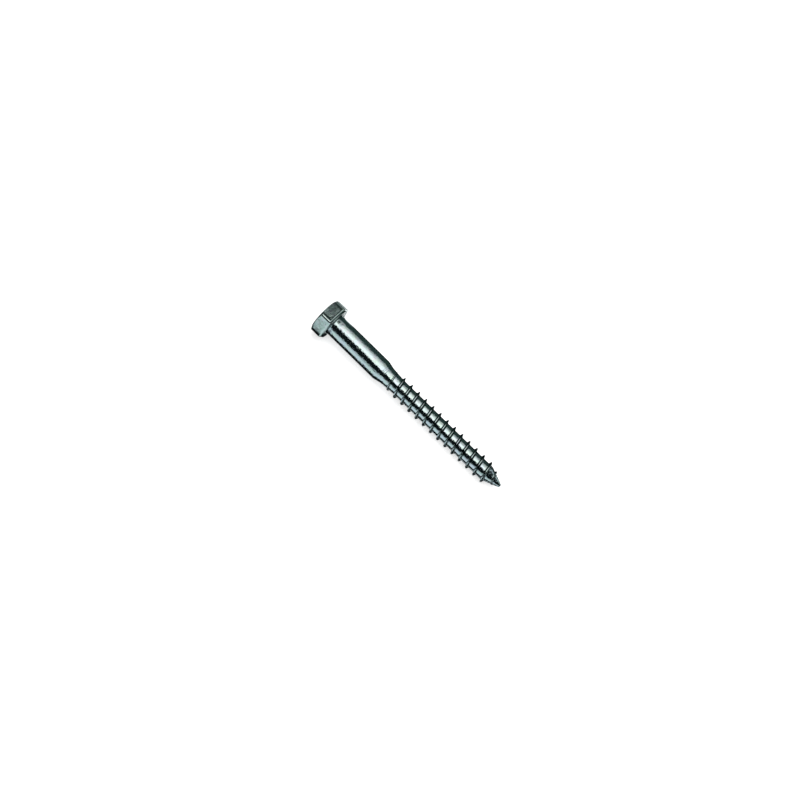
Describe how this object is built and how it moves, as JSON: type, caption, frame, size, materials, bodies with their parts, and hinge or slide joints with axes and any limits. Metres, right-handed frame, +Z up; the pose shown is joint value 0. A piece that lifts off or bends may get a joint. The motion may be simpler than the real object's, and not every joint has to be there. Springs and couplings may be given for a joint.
{
  "type": "lag screw",
  "caption": "Hexagon-head wood screw with a plain shank, a coarse right-hand thread and a gimlet point, lying on its side.",
  "frame": {"origin": "on the floor, under the middle of the box that the lying screw fills", "axes": "+X from the head to the point, +Z up from the floor; the screw's own axis dips 2.12 degrees towards its point, and one flat of the hexagon faces down"},
  "size_m": [0.064, 0.0112, 0.01],
  "materials": {
    "zinc_plated_steel": "bright zinc plating with a faint blue-green cast over drawn and rolled steel"
  },
  "bodies": {
    "root": {"lag_screw": "zinc_plated_steel"}
  },
  "joints": []
}
